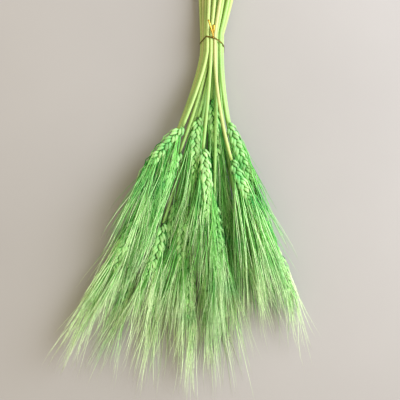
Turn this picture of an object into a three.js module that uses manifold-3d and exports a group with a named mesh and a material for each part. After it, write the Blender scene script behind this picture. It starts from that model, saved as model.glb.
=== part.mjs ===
// A bunch of bearded wheat, laid down and held by a twist tie. Millimetres, +Z up. The cut ends point
// to +Y and the ears fan out towards -Y. Everything is worked out from the point on the floor under
// the tie's middle, and the whole bunch is then moved so that its origin is the bottom centre of its
// box.
import * as THREE from "three";
import { mergeVertices } from "three/addons/utils/BufferGeometryUtils.js";
import Module from "manifold-3d";

const wasm = await Module();
wasm.setup();

// Straws: radius at the cut end, at the tie and at the foot of the ear
const CUT_RADIUS = 1.8;
const TIE_RADIUS = 1.65;
const NECK_RADIUS = 1.35;
const STRAW_SIDES = 6;
const STRAW_STATIONS = [32, 80];
const LONGEST_STRETCH = 50;
const FLARE_LEFT = 1.35;
const FLARE_RIGHT = 2;

// Behind the tie the straws bow apart, drift to the right and are cut off unevenly
const CUT_LENGTH = 160;
const CUT_UNEVENNESS = 7;
const CUT_SPREAD = 1.25;
const CUT_DRIFT = 11;
const CUT_STRAY = 2;
const CUT_STATIONS = [-45, -95];

// Rows: each row of stalks lies in a sheet of its own height, so no stalk crosses one of another row.
// Heights are those of the lowest row's middle line, and the steps between rows. Each row is shifted
// sideways by a share of the pitch, so that its straws lie over the gaps of the row below.
const STRAW_PITCH = 3.7;
const ROW_SHIFTS = [0, 0.5, -0.5, 0, 0, -0.5];
const CUT_STEP = 3.65;
const TIE_STEP = 3.65;
const TIE_LOWEST = 3;
const EAR_STEP = 6.3;
const EAR_LOWEST = 2.75;
const TIGHT = 8;

// Ears: a slim rachis with spikelets on alternate sides, smaller towards both ends
const SPIKELET_PITCH = 5.5;
const SPIKELET_LENGTH = 13.5;
const SPIKELET_WIDTH = 2.1;
const SPIKELET_DEPTH = 3;
const SPIKELET_BELLY = 0.42;
const SPIKELET_SIDES = 4;
const SPIKELET_LEAN = THREE.MathUtils.degToRad(18);
const FULLEST_PLACE = 0.4;
const END_SHRINKAGE = 1.1;
const RACHIS_RADIUS = 1.1;
const RACHIS_SIDES = 4;
const RACHIS_STEPS = 5;
const NECK_GAP = 0.3;
const FLOOR_WIDTH = 1000;
const FLOOR_DEPTH = 10;

// Awns: every spikelet runs out into one, which goes a way of its own between the ear's line and the
// way out from the tie. It is turned back, and at last made shorter, for as long as it would come too
// near another stalk.
const AWN_RADIUS = 0.5;
const AWN_LONGEST = 92;
const AWN_SHORTEST = 70;
const AWN_SPREAD = THREE.MathUtils.degToRad(12);
const AWN_COMBING = 0.65;
const AWN_LEAST_SPREAD = 0.35;
const AWN_RISE = THREE.MathUtils.degToRad(8);
const AWN_CLEARANCE = 0.35;
const AWN_TURNS_BACK = 16;
const AWN_SHORTENINGS = 5;

// Twist tie: a strip round the bundle in a tilted plane, twisted on top, with two tails
const TIE_THICKNESS = 0.7;
const TIE_WIDTH = 1.5;
const TIE_GAP = 0.35;
const TIE_CORNERS = 24;
const TIE_MIDDLE = -3;
const TIE_TILT_RIGHT = -0.24;
const TIE_TILT_UP = 0.5;
const STRIP_CORNERS = 4;
const TIE_FITTINGS = 3;
const KNOT_WIDTH = 1.1;
const KNOT_HEIGHT = 0.75;
const KNOT_LENGTH = 5;
const KNOT_HALF_TURNS = 1.5;
const KNOT_STEPS = 8;
const KNOT_RIGHT = 0;
const TAIL_ROOT = 0.6;
const TAILS = [
  { right: -4.8, behind: 13.2, above: 2.4, width: 1.7 },
  { right: 0.6, behind: 8.6, above: 1.6, width: 2.6 },
];

// Rows from the floor up, and in each row the ears from left to right. An ear is a line from its foot
// to its tip, and each point tells how far it is right of the tie and how far it is from the tie.
const ROWS = [
  [
    [[-38, 205], [-41, 236], [-44, 268]],
    [[3, 234], [5, 258], [6, 282]],
    [[30, 150], [38, 181], [44, 212]],
  ],
  [
    [[-78, 214], [-86, 246], [-93, 277]],
    [[-54, 226], [-58, 255], [-60, 284]],
    [[-7, 209], [-6, 244], [-3, 279]],
    [[16, 197], [18, 230], [19, 264]],
    [[48, 180], [57, 206], [65, 232]],
  ],
  [
    [[-63, 149], [-75, 179], [-85, 209]],
    [[-37, 159], [-42, 190], [-45, 221]],
    [[-23, 214], [-24, 250], [-23, 287]],
    [[9, 129], [12, 161], [15, 194]],
    [[29, 182], [37, 209], [44, 236]],
    [[52, 192], [63, 215], [73, 238], [78, 258]],
  ],
  [
    [[-101, 219], [-113, 243], [-123, 269]],
    [[-50, 182], [-56, 211], [-71, 245]],
    [[-28, 164], [-31, 199], [-32, 234]],
    [[-2, 59], [1, 84], [6, 127]],
    [[25, 164], [31, 187], [34, 213]],
    [[37, 156], [49, 181], [62, 212]],
  ],
  [
    [[-75, 177], [-88, 204], [-100, 236]],
    [[-33, 112], [-46, 139], [-57, 168]],
    [[-15, 77], [-18, 105], [-18, 147]],
    [[1, 165], [4, 199], [3, 243]],
    [[15, 83], [26, 111], [36, 138], [41, 155]],
  ],
  [
    [[-30, 87], [-46, 105], [-59, 122], [-64, 141]],
    [[-10, 109], [-7, 141], [-5, 187]],
    [[18, 120], [28, 143], [42, 177]],
  ],
];
const BUNDLE_MIDDLE = TIE_LOWEST + ((ROWS.length - 1) / 2) * TIE_STEP;

const { clamp, lerp, seededRandom, smoothstep } = THREE.MathUtils;
const UP = new THREE.Vector3(0, 0, 1);
const DRAWS_SEED = 28;

function strawMaterial() {
  return new THREE.MeshStandardMaterial({ color: 0xdde8a8, roughness: 0.6, metalness: 0 });
}

function earMaterial() {
  return new THREE.MeshStandardMaterial({ color: 0x8fd67c, roughness: 0.7, metalness: 0 });
}

function foilMaterial() {
  return new THREE.MeshStandardMaterial({ color: 0xc79a2a, roughness: 0.35, metalness: 0.8 });
}

// A draw between -1 and 1
function draw() {
  return 2 * seededRandom() - 1;
}

// One closed solid from a geometry, without its seams and the flat triangles at a pole
function solid(geometry) {
  geometry.deleteAttribute("normal");
  geometry.deleteAttribute("uv");
  const merged = mergeVertices(geometry);
  const corners = merged.index.array;
  const triVerts = [];
  for (let i = 0; i < corners.length; i += 3) {
    const [a, b, c] = corners.slice(i, i + 3);
    if (a !== b && b !== c && c !== a) {
      triVerts.push(a, b, c);
    }
  }
  const mesh = new wasm.Mesh({
    numProp: 3,
    vertProperties: merged.attributes.position.array,
    triVerts: new Uint32Array(triVerts),
  });
  return new wasm.Manifold(mesh);
}

function fuse(solids) {
  return solids.reduce((whole, piece) => whole.add(piece));
}

function toMesh(name, whole, material) {
  const { vertProperties, triVerts } = whole.getMesh();
  const geometry = new THREE.BufferGeometry();
  geometry.setAttribute("position", new THREE.BufferAttribute(vertProperties, 3));
  geometry.setIndex(new THREE.BufferAttribute(triVerts, 1));
  geometry.computeVertexNormals();
  const mesh = new THREE.Mesh(geometry, material);
  mesh.name = name;
  return mesh;
}

// A turned rod bent through rings, which is flat or, where a ring is marked as a point, pointed at its
// ends. A ring has a middle, and a side and an up direction as long as its radii there, and side, the
// way to the next ring and up are right-handed.
function rod(rings, sides, turn = Math.PI / sides) {
  const profile = rings.map((ring, place) => new THREE.Vector2(ring.point ? 0 : 1, place));
  const ends = [new THREE.Vector2(0, 0), new THREE.Vector2(0, rings.length - 1)];
  const geometry = new THREE.LatheGeometry([ends[0], ...profile, ends[1]], sides, turn);
  const position = geometry.attributes.position;
  for (let i = 0; i < position.count; i += 1) {
    const { middle, side, up } = rings[Math.round(position.getY(i))];
    const point = middle.clone();
    point.addScaledVector(side, position.getX(i));
    point.addScaledVector(up, position.getZ(i));
    position.setXYZ(i, point.x, point.y, point.z);
  }
  return solid(geometry);
}

function levelRing(middle, radius) {
  return { middle, side: new THREE.Vector3(radius, 0, 0), up: new THREE.Vector3(0, 0, radius) };
}

// A ring that faces a way, with its up direction as near upright as that leaves it
function facingRing(middle, way, width, height = width) {
  const side = new THREE.Vector3().crossVectors(way, UP).normalize();
  const up = new THREE.Vector3().crossVectors(side, way).normalize();
  return { middle, side: side.multiplyScalar(width), up: up.multiplyScalar(height) };
}

function strawRadius(stalk, distance) {
  if (distance < 0) {
    return lerp(TIE_RADIUS, CUT_RADIUS, -distance / CUT_LENGTH);
  }
  return lerp(TIE_RADIUS, NECK_RADIUS, distance / stalk.neck);
}

// Behind the tie the lowest row lies on the floor with the flat of its six sides down
function strawHeight(stalk, distance) {
  const tied = TIE_LOWEST + stalk.row * TIE_STEP;
  if (distance < 0) {
    const flat = strawRadius(stalk, distance) * Math.cos(Math.PI / STRAW_SIDES);
    return lerp(tied, flat + stalk.row * CUT_STEP, smoothstep(-distance, TIGHT, -CUT_STATIONS[0]));
  }
  const spread = Math.min(stalk.neck, STRAW_STATIONS.at(-1));
  return lerp(tied, stalk.earHeight, smoothstep(distance, TIGHT, spread));
}

// A straw is straight through the tie. Behind it the straw is bowed outwards. In front of it the
// straws flare out to the feet of their ears, later on the right than on the left.
function strawOffset(stalk, distance) {
  if (distance < 0) {
    const way = Math.max(-distance - TIGHT, 0) / (CUT_LENGTH - TIGHT);
    const bow = way * (2 - way);
    return stalk.slot + (stalk.slot * CUT_SPREAD + CUT_DRIFT + stalk.stray * way) * bow;
  }
  const way = clamp((distance - TIGHT) / (stalk.neck - TIGHT), 0, 1);
  const flare = stalk.foot < stalk.slot ? FLARE_LEFT : FLARE_RIGHT;
  return lerp(stalk.slot, stalk.foot, way ** flare);
}

function strawPoint(stalk, distance) {
  return new THREE.Vector3(strawOffset(stalk, distance), -distance, strawHeight(stalk, distance));
}

function makeStalk(line, row, column) {
  const earHeight = EAR_LOWEST + row * EAR_STEP;
  const points = line.map(([right, out]) => new THREE.Vector3(right, -out, earHeight));
  return {
    row,
    earHeight,
    spine: new THREE.CatmullRomCurve3(points),
    foot: points[0].x,
    neck: -points[0].y,
    slot: (column - (ROWS[row].length - 1) / 2 + ROW_SHIFTS[row]) * STRAW_PITCH,
    stray: CUT_STRAY * draw(),
    cut: CUT_LENGTH + CUT_UNEVENNESS * draw(),
  };
}

// From the foot of the ear back to the cut end
function strawRings(stalk) {
  const end = stalk.neck - NECK_GAP;
  const shared = STRAW_STATIONS.filter((station) => station < end - TIGHT);
  const last = shared.at(-1);
  const middles = end - last > LONGEST_STRETCH ? [(last + end) / 2] : [];
  const stations = [end, ...middles, ...shared.reverse(), TIGHT, -TIGHT, ...CUT_STATIONS, -stalk.cut];
  return stations.map((distance) => levelRing(strawPoint(stalk, distance), strawRadius(stalk, distance)));
}

function rachis(stalk) {
  const rings = [];
  for (let i = RACHIS_STEPS; i >= 0; i -= 1) {
    const length = stalk.spine.getLength();
    const place = (i / RACHIS_STEPS) * (1 - SPIKELET_LENGTH / 2 / length);
    rings.push(levelRing(stalk.spine.getPointAt(place), RACHIS_RADIUS));
  }
  return rod(rings, RACHIS_SIDES);
}

// Where each spikelet of an ear grows and ends, and its way out. The last one stands on the rachis's
// end.
function spikeletPlaces(stalk) {
  const rooted = stalk.spine.getLength() - SPIKELET_LENGTH;
  const last = Math.round(rooted / SPIKELET_PITCH);
  const places = [];
  for (let i = 0; i <= last; i += 1) {
    const place = ((i / last) * rooted) / stalk.spine.getLength();
    const along = stalk.spine.getTangentAt(place);
    const side = new THREE.Vector3().crossVectors(along, UP).normalize();
    const hand = i % 2 ? 1 : -1;
    const lean = i === last ? 0 : hand * SPIKELET_LEAN;
    const way = along.clone().multiplyScalar(Math.cos(lean)).addScaledVector(side, Math.sin(lean));
    const size = 1 - END_SHRINKAGE * (i / last - FULLEST_PLACE) ** 2;
    const root = stalk.spine.getPointAt(place);
    const tip = root.clone().addScaledVector(way, size * SPIKELET_LENGTH);
    places.push({ root, tip, along, side, hand, way, size });
  }
  return places;
}

// A straight piece of something that others must keep clear of
function obstacle(stalk, start, end, radius) {
  const line = new THREE.Line3(start, end);
  const box = new THREE.Box3().setFromPoints([start, end]).expandByScalar(radius + AWN_CLEARANCE);
  return { stalk, line, box, radius };
}

function strawObstacles(stalk) {
  const rings = strawRings(stalk);
  return rings.slice(1).map((ring, i) => obstacle(stalk, rings[i].middle, ring.middle, TIE_RADIUS));
}

function spikeletObstacles(stalk) {
  return stalk.spikelets.map(({ root, tip, size }) => obstacle(stalk, root, tip, size * SPIKELET_DEPTH));
}

function meets(piece, obstacles) {
  return obstacles.some((other) => {
    if (other.stalk === piece.stalk || !other.box.intersectsBox(piece.box)) {
      return false;
    }
    const room = other.radius + piece.radius + AWN_CLEARANCE;
    return other.line.distanceSqToLine3(piece.line) < room * room;
  });
}

// Finds a clear way for the awn of one spikelet, and keeps it clear for the others
function growAwn(stalk, place, obstacles) {
  const { along, side, tip } = place;
  const combed = along.clone().lerp(new THREE.Vector3(tip.x, tip.y, 0).normalize(), AWN_COMBING);
  const length = lerp(AWN_SHORTEST, AWN_LONGEST, seededRandom());
  const sideways = place.hand * lerp(AWN_LEAST_SPREAD, 1, seededRandom()) * AWN_SPREAD;
  const upwards = draw() * AWN_RISE;
  for (let i = 0; i < AWN_TURNS_BACK * AWN_SHORTENINGS; i += 1) {
    const kept = 1 - (i % AWN_TURNS_BACK) / AWN_TURNS_BACK;
    const shorter = 1 - Math.floor(i / AWN_TURNS_BACK) / AWN_SHORTENINGS;
    const out = combed.clone();
    out.addScaledVector(side, Math.tan(sideways * lerp(AWN_LEAST_SPREAD, 1, kept)));
    out.addScaledVector(UP, Math.tan(upwards * kept));
    const end = tip.clone().addScaledVector(out.normalize(), length * shorter);
    const piece = obstacle(stalk, tip, end, AWN_RADIUS);
    if (end.z > AWN_RADIUS && !meets(piece, obstacles)) {
      obstacles.push(piece);
      place.awn = piece.line;
      return;
    }
  }
}

// The ears grow their awns in turn, from the tips of the ears down, so that none of them is left bare
function growAwns(stalks) {
  const obstacles = stalks.flatMap((stalk) => [...strawObstacles(stalk), ...spikeletObstacles(stalk)]);
  const most = Math.max(...stalks.map((stalk) => stalk.spikelets.length));
  for (let i = 1; i <= most; i += 1) {
    for (const stalk of stalks.filter((each) => each.spikelets.length >= i)) {
      growAwn(stalk, stalk.spikelets.at(-i), obstacles);
    }
  }
}

// A keeled bud that tapers into its awn
function spikelet({ root, way, size, tip, awn }) {
  const belly = root.clone().addScaledVector(way, size * SPIKELET_BELLY * SPIKELET_LENGTH);
  const rings = [
    { ...levelRing(root, 0), point: true },
    facingRing(belly, way, size * SPIKELET_WIDTH, size * SPIKELET_DEPTH),
  ];
  if (awn) {
    rings.push(facingRing(tip, way.clone().add(awn.delta(new THREE.Vector3()).normalize()), AWN_RADIUS));
  }
  rings.push({ ...levelRing(awn ? awn.end : tip, 0), point: true });
  return rod(rings, SPIKELET_SIDES, 0);
}

// What the bunch lies on, which flattens the little that would reach below it
function floor() {
  const geometry = new THREE.BoxGeometry(FLOOR_WIDTH, FLOOR_WIDTH, FLOOR_DEPTH);
  return solid(geometry.translate(0, 0, -FLOOR_DEPTH / 2));
}

function ear(stalk) {
  return fuse([rachis(stalk), ...stalk.spikelets.map(spikelet)]).subtract(floor());
}

// A point on a strip drawn tight round the bundle, where the way out from its middle is given by an
// angle
function tiePoint(stalks, angle, outwards) {
  const out = new THREE.Vector3(Math.cos(angle), 0, Math.sin(angle));
  const point = out.clone().multiplyScalar(BUNDLE_MIDDLE);
  for (let i = 0; i < TIE_FITTINGS; i += 1) {
    const along = TIE_MIDDLE + TIE_TILT_RIGHT * point.x + TIE_TILT_UP * point.z;
    const centres = stalks.map((stalk) => strawPoint(stalk, -along));
    centres.forEach((centre) => centre.setY(along).setZ(centre.z - BUNDLE_MIDDLE));
    const outermost = centres.reduce((best, centre) => (centre.dot(out) > best.dot(out) ? centre : best));
    point.copy(outermost).addScaledVector(out, TIE_RADIUS + TIE_GAP + outwards);
  }
  return point.setZ(point.z + BUNDLE_MIDDLE);
}

// A ring of square section bent to a flat strip round the bundle. Its four edges stand a tube's radius
// of 1 above, outside, below and inside a ring of radius 2, and each goes to a corner of the strip.
function tieStrip(stalks) {
  const ring = 2;
  const geometry = new THREE.TorusGeometry(ring, 1, STRIP_CORNERS, TIE_CORNERS);
  const position = geometry.attributes.position;
  for (let i = 0; i < position.count; i += 1) {
    const angle = Math.atan2(position.getY(i), position.getX(i));
    const outside = Math.hypot(position.getX(i), position.getY(i)) - ring;
    const above = position.getZ(i);
    const point = tiePoint(stalks, angle, ((outside - above + 1) * TIE_THICKNESS) / 2);
    point.y -= ((outside + above) * TIE_WIDTH) / 2;
    position.setXYZ(i, point.x, point.y, point.z);
  }
  return solid(geometry);
}

// The strip's two ends wound round each other
function knot(start) {
  const rings = [];
  for (let i = 0; i <= KNOT_STEPS; i += 1) {
    const place = i / KNOT_STEPS;
    const turn = place * KNOT_HALF_TURNS * Math.PI;
    const middle = start.clone().add(new THREE.Vector3(0, place * KNOT_LENGTH, 0));
    const side = new THREE.Vector3(Math.cos(turn), 0, Math.sin(turn)).multiplyScalar(KNOT_WIDTH);
    const up = new THREE.Vector3(-Math.sin(turn), 0, Math.cos(turn)).multiplyScalar(KNOT_HEIGHT);
    rings.push({ middle, side, up });
  }
  return rod(rings, STRIP_CORNERS);
}

// A flat strip from the knot's end, whose rings are as wide as half its diagonal
function tail(start, { right, behind, above, width }) {
  const way = new THREE.Vector3(right, behind, above);
  const wide = width * Math.SQRT1_2;
  const thick = TIE_THICKNESS * Math.SQRT1_2;
  const rings = [
    facingRing(start, way, wide * TAIL_ROOT, thick),
    facingRing(start.clone().addScaledVector(way, 1 / 2), way, wide, thick),
    facingRing(start.clone().add(way), way, wide, thick),
  ];
  return rod(rings, STRIP_CORNERS);
}

// The knot stands on the strip where it runs straight over the top of the bundle
function tie(stalks) {
  const top = tiePoint(stalks, Math.PI / 2, TIE_THICKNESS / 2 + KNOT_HEIGHT);
  const shift = KNOT_RIGHT - top.x;
  const start = top.clone().add(new THREE.Vector3(shift, TIE_TILT_RIGHT * shift - TIE_WIDTH / 2, 0));
  const end = start.clone().add(new THREE.Vector3(0, KNOT_LENGTH - TIE_THICKNESS, 0));
  return fuse([tieStrip(stalks), knot(start), ...TAILS.map((way) => tail(end, way))]);
}

function numbered(name, i) {
  return `${name}_${String(i + 1).padStart(2, "0")}`;
}

seededRandom(DRAWS_SEED);
const stalks = ROWS.flatMap((lines, row) => lines.map((line, column) => makeStalk(line, row, column)));
stalks.forEach((stalk) => {
  stalk.spikelets = spikeletPlaces(stalk);
});
growAwns(stalks);

const bunch = new THREE.Group();
stalks.forEach((stalk, i) => {
  bunch.add(toMesh(numbered("straw", i), rod(strawRings(stalk), STRAW_SIDES), strawMaterial()));
  bunch.add(toMesh(numbered("ear", i), ear(stalk), earMaterial()));
});
bunch.add(toMesh("tie", tie(stalks), foilMaterial()));

const box = new THREE.Box3().setFromObject(bunch);
const middle = box.getCenter(new THREE.Vector3());
bunch.position.set(-middle.x, -middle.y, -box.min.z);

export default bunch;
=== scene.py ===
"""A bunch of dyed bearded wheat, laid down and held by a gold twist tie."""

import math
import random
from typing import NamedTuple

import bmesh
import bpy
from bpy.props import FloatProperty, FloatVectorProperty, IntProperty, PointerProperty
from mathutils import Matrix, Vector


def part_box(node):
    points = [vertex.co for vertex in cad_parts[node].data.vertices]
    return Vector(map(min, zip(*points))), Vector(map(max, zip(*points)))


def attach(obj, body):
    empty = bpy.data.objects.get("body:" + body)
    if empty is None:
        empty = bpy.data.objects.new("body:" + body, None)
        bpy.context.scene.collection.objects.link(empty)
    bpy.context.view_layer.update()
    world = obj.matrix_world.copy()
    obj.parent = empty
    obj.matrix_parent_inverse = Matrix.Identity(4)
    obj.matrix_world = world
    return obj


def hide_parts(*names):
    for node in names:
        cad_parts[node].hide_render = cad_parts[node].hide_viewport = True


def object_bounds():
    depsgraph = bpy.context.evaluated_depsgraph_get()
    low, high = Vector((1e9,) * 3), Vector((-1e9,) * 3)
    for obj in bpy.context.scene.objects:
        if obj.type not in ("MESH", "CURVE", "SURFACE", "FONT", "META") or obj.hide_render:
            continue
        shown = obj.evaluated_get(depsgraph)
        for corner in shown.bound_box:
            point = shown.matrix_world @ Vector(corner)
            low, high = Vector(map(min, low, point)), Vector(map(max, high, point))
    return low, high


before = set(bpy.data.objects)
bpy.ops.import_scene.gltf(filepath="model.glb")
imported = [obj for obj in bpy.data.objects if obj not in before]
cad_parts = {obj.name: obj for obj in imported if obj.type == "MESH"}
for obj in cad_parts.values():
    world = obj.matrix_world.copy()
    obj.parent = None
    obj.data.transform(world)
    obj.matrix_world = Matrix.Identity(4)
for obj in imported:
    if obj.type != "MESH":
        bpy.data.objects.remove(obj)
CAD_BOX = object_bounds()

bl_info = {
    "name": "Tied Wheat Bunch",
    "version": (1, 0, 0),
    "blender": (4, 5, 0),
    "location": "3D View > Sidebar > Wheat",
    "description": "Straws, bearded ears and a foil twist tie for a dyed wheat bunch",
    "category": "Object",
}

MM = 0.001
WELD = 0.001 * MM
UP = Vector((0, 0, 1))
WHITE = (1, 1, 1)

# Straws: radius at the cut end, at the tie and at the foot of the ear
CUT_RADIUS = 1.8 * MM
TIE_RADIUS = 1.65 * MM
NECK_RADIUS = 1.35 * MM

# How near its middle a six-sided straw lies on a flat side, and how much wider a round one is
FLAT_SHARE = math.cos(math.pi / 6)
ROUND_SHARE = 1.06

# How late the straws that go left and right past the tie turn outwards
FLARE_LEFT = 1.35
FLARE_RIGHT = 2

# Behind the tie the straws bow apart, drift to the right and are cut off unevenly
CUT_LENGTH = 160 * MM
CUT_UNEVENNESS = 7 * MM
CUT_SPREAD = 1.25
CUT_DRIFT = 11 * MM
CUT_STRAY = 2 * MM
CUT_SETTLED = 45 * MM

# How far apart the straws of a row are in the tie, and by how many straws each row is shifted
STRAW_PITCH = 3.7 * MM
ROW_SHIFTS = (0, 0.5, -0.5, 0, 0, -0.5)

# Heights of the lowest row's middle line, and the steps between rows
CUT_STEP = 3.65 * MM
TIE_STEP = 3.65 * MM
TIE_LOWEST = 3 * MM
EAR_STEP = 6.3 * MM
EAR_LOWEST = 2.75 * MM

# How far from the tie the straws lie close, how far from it the rows are as far apart as the ears,
# and how far before its ear a straw ends
TIGHT = 8 * MM
EARS_APART = 80 * MM
NECK_GAP = 0.3 * MM

# The bevel at a straw's cut end, and the swollen joint that some straws have behind the tie
STRAW_RINGS = 42
RIM_SHARE = 0.97
RIM_LENGTH = 0.2 * MM
JOINTED_SHARE = 0.4
JOINT_PLACES = (0.62, 0.85)
JOINT_RINGS = (-1, -0.5, -0.2, 0, 0.2, 0.5, 1)
JOINT_SWELL = 0.22
JOINT_WIDTH = 0.4
JOINT_DARKENING = 3

# Ears: spikelets on alternate sides of the rachis, smaller towards both ends
SPIKELET_PITCH = 4.5 * MM
SPIKELET_LENGTH = 13.5 * MM
SPIKELET_LEAN = math.radians(18)
SPIKELET_LEAN_STRAY = 3  # degrees
SPIKELET_SIZES = (0.94, 1.06)
FULLEST_PLACE = 0.4
END_SHRINKAGE = 1.1

# The rachis, a little thicker at its foot
RACHIS_RADIUS = 0.95 * MM
RACHIS_RINGS = 12
RACHIS_SIDES = 6
RACHIS_FOOT = 1.15
RACHIS_TAPER = 0.3
RACHIS_DYE = (0.5, 0.2, 0, 1)

# Awns: how far they spread, rise and are combed outwards, and how they turn, taper and bend
AWN_SPREAD = math.radians(11)
AWN_RISE = math.radians(8)
AWN_COMBING = 0.65
AWN_STEPS = (0, 0.06, 0.2, 0.4, 0.6, 0.8, 1)
AWN_SIDES = 3
AWN_ROOTED = 0.8 * MM
AWN_TURNED_BY = 0.25
AWN_TAPER = 0.9
AWN_SWAY = 0.045
AWN_SWAY_UP = 0.5
AWN_WAVE = 0.02
AWN_FLOOR = 0.25 * MM

# How far an awn of an inner husk rises at least, and the middle husk's awn rises or falls at most
LEAST_RISE = 0.2
MIDDLE_RISE = 0.4

# Awns of the hidden husks: their length, how they lean and where on a husk's length they begin
HIDDEN_SHARE = 0.95
HIDDEN_LEAN_UP = 0.2
HIDDEN_LEAN_OUT = 0.1
HIDDEN_PLACES = (0.75, 0.95)

# How many hidden awns the lowest ears and the uppermost ones have, against the usual number
THINNEST_BEARD = 0.6
THICKEST_BEARD = 1.4

# Awns that stray from the rest
STRAY_SHARE = 0.12
STRAY_SPREAD = 1.5
STRAY_LENGTH = 0.75

# How much of their bend and of their dye the awns of a spikelet share, how far they turn outwards
# together, and how far they lie apart
LOCK_BEND = 0.5
LOCK_DYE = 0.4
LOCK_TURNS = (-0.2, 0.8)
LOCK_WIDTH = 0.5

# How much paler the upper awns of a spikelet are than the ones that they cover, which is painted
# shade on the covered awns
COVERED_AWN_SHADE = 0.4

# How far out from the tie the beards are full, and the share of the longer awns that end there.
# They end between two shares of that reach, and keep at least a share of their length.
FULL_REACH = 296 * MM
FULL_ENDS = 0.4
FULL_END_PLACES = (0.92, 1.04)
LEAST_KEPT = 0.35

# A few awns are longer than the rest, and how far out from the tie the longest ends
LONG_SHARE = 0.06
LONGER = 1.35
LONGEST_REACH = 374 * MM

# How far out from the tie the awns begin to be paler and thinner, and where that ends. How much
# they pale along their length before and past it, and how much paler and thinner they are past it.
PALER_FROM = 205 * MM
PALEST_FROM = 300 * MM
PALING_ALONG = (0.4, 1.2)
PALING_FAR = 0.32
FARTHEST_WIDTH = 0.8

# How far sideways the awns of an ear lean over their length, where the ones above press on them
AWN_LEANS = {
    4: -0.04,
    8: -0.06,
    9: -0.1,
    14: -0.1,
    15: -0.05,
    20: -0.06,
    21: -0.08,
    22: -0.06,
    26: 0.2,
    28: -0.03,
}

# How much longer the awns of an ear are, where they aren't as the others
LONG_BEARDS = {9: 1.15, 21: 1.1, 22: 1.15, 26: 1.28, 28: 1.35}

# Twist tie: a strip round the bundle in a tilted plane, twisted on top, with two tails
TIE_GAP = 0.1 * MM
TIE_CORNERS = 96
TIE_MIDDLE = -3 * MM
TIE_TILT_RIGHT = -0.24
TIE_TILT_UP = 0.5
TIE_FITTINGS = 3
KNOT_RIGHT = 0
KNOT_ABOVE = 1.0 * MM
KNOT_AHEAD = 0.6 * MM
KNOT_LENGTH = 2.4 * MM
KNOT_RADIUS = 0.5 * MM
KNOT_TURNS = 1.25
KNOT_RINGS = 22
TAILS = ((-4.8 * MM, 15.1 * MM, 2.4 * MM), (0.6 * MM, 10.5 * MM, 1.6 * MM))
TAIL_RINGS = 10
TAIL_BOW = 0.8 * MM
TAIL_PINCH = 0.8
TAIL_SPREADS = (1.1, 1.8)
TAIL_SPREAD_BY = 0.5
TAIL_FLATTENING = 3
RING_DARK = (1, 0, 0, 1)

# Rows from the floor up, and in each row the ears from left to right. An ear is a line from its
# foot to its tip, and each point tells how far right of the tie it is and how far away from it.
ROWS = (
    (
        ((-38, 205), (-41, 236), (-44, 268)),
        ((3, 234), (5, 258), (6, 282)),
        ((30, 150), (38, 181), (44, 212)),
    ),
    (
        ((-78, 214), (-86, 246), (-93, 277)),
        ((-54, 226), (-58, 255), (-60, 284)),
        ((-7, 209), (-6, 244), (-3, 279)),
        ((16, 197), (18, 230), (19, 264)),
        ((48, 180), (57, 206), (65, 232)),
    ),
    (
        ((-63, 149), (-75, 179), (-85, 209)),
        ((-37, 159), (-42, 190), (-45, 221)),
        ((-23, 214), (-24, 250), (-23, 287)),
        ((9, 129), (12, 161), (15, 194)),
        ((29, 182), (37, 209), (44, 236)),
        ((52, 192), (63, 215), (73, 238), (78, 258)),
    ),
    (
        ((-101, 219), (-113, 243), (-123, 269)),
        ((-50, 182), (-56, 211), (-71, 245)),
        ((-28, 164), (-31, 199), (-32, 234)),
        ((-2, 59), (1, 84), (6, 127)),
        ((25, 164), (31, 187), (34, 213)),
        ((37, 156), (49, 181), (62, 212)),
    ),
    (
        ((-75, 177), (-88, 204), (-100, 236)),
        ((-33, 112), (-46, 139), (-57, 168)),
        ((-15, 77), (-18, 105), (-18, 147)),
        ((1, 165), (4, 199), (3, 243)),
        ((15, 83), (26, 111), (36, 138), (41, 155)),
    ),
    (
        ((-30, 87), (-46, 105), (-59, 122), (-64, 141)),
        ((-10, 109), (-7, 141), (-5, 187)),
        ((18, 120), (28, 143), (42, 177)),
    ),
)
BUNDLE_MIDDLE = TIE_LOWEST + (len(ROWS) - 1) / 2 * TIE_STEP
DRAWS_SEED = 28

# The straw whose foot is farthest left, which shows where the tie is in the frame
LEFTMOST_STRAW = 15

# How green a straw is, from the palest to the greenest, and the few that are given their tone
STRAW_TONES = (0.3, 1)
PALE_STRAWS = {26: 0.35, 27: 0.5, 28: 0}

# How much more dye an ear has taken than the others, or how much less. Ear 26's deeper green is
# painted shade, as it faces away from the light.
DEEP_DYED_AND_SHADED_EARS = {8: 0.45, 12: 0.3, 20: 0.8, 22: 0.2, 24: 0.3, 25: 0.25, 26: 0.05}
PALE_EARS = {14: 0.8, 15: 0.5, 16: 0.6, 23: 0.3, 27: 0.3}

# The share of an ear's awns that have broken short, where it isn't as the others, and what is left
BROKEN_SHARE = 0.15
BROKEN_SHARES = {2: 0.4, 7: 0.4, 8: 0.75, 13: 0.7, 14: 0.75, 20: 0.6, 25: 0.3}
BROKEN_LENGTHS = (0.2, 0.75)

# Pools of deep dye and painted shade: how far right of the tie and away from it, how wide, and how
# deep.
# The pool 25 mm left of the tie and 100 mm from it is painted shade in the gap under ear 26.
# They are at their full depth within a share of that width, and end at a greater one.
DYE_AND_SHADE_POOLS = ((44, 160, 10, 1), (-25, 100, 8, 0.7), (-60, 125, 7, 0.25), (-14, 150, 6, 0.5))
POOL_FULL = 0.6
POOL_END = 1.4

# Husks: how far along each ring is, and its share of the full width and depth
HUSK_RINGS = (
    (0, 0, 0),
    (0.12, 0.6, 0.6),
    (0.36, 1, 1),
    (0.62, 0.76, 0.8),
    (0.85, 0.3, 0.4),
    (1, 0, 0),
)

# A husk seen along its length, keel up, and how far it bows out as a share of its length
HUSK_SECTION = (
    (1, 0),
    (0.8, 0.62),
    (0, 1.12),
    (-0.8, 0.62),
    (-1, 0),
    (-0.66, -0.36),
    (0, -0.46),
    (0.66, -0.36),
)
HUSK_BOW = 0.12


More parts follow.
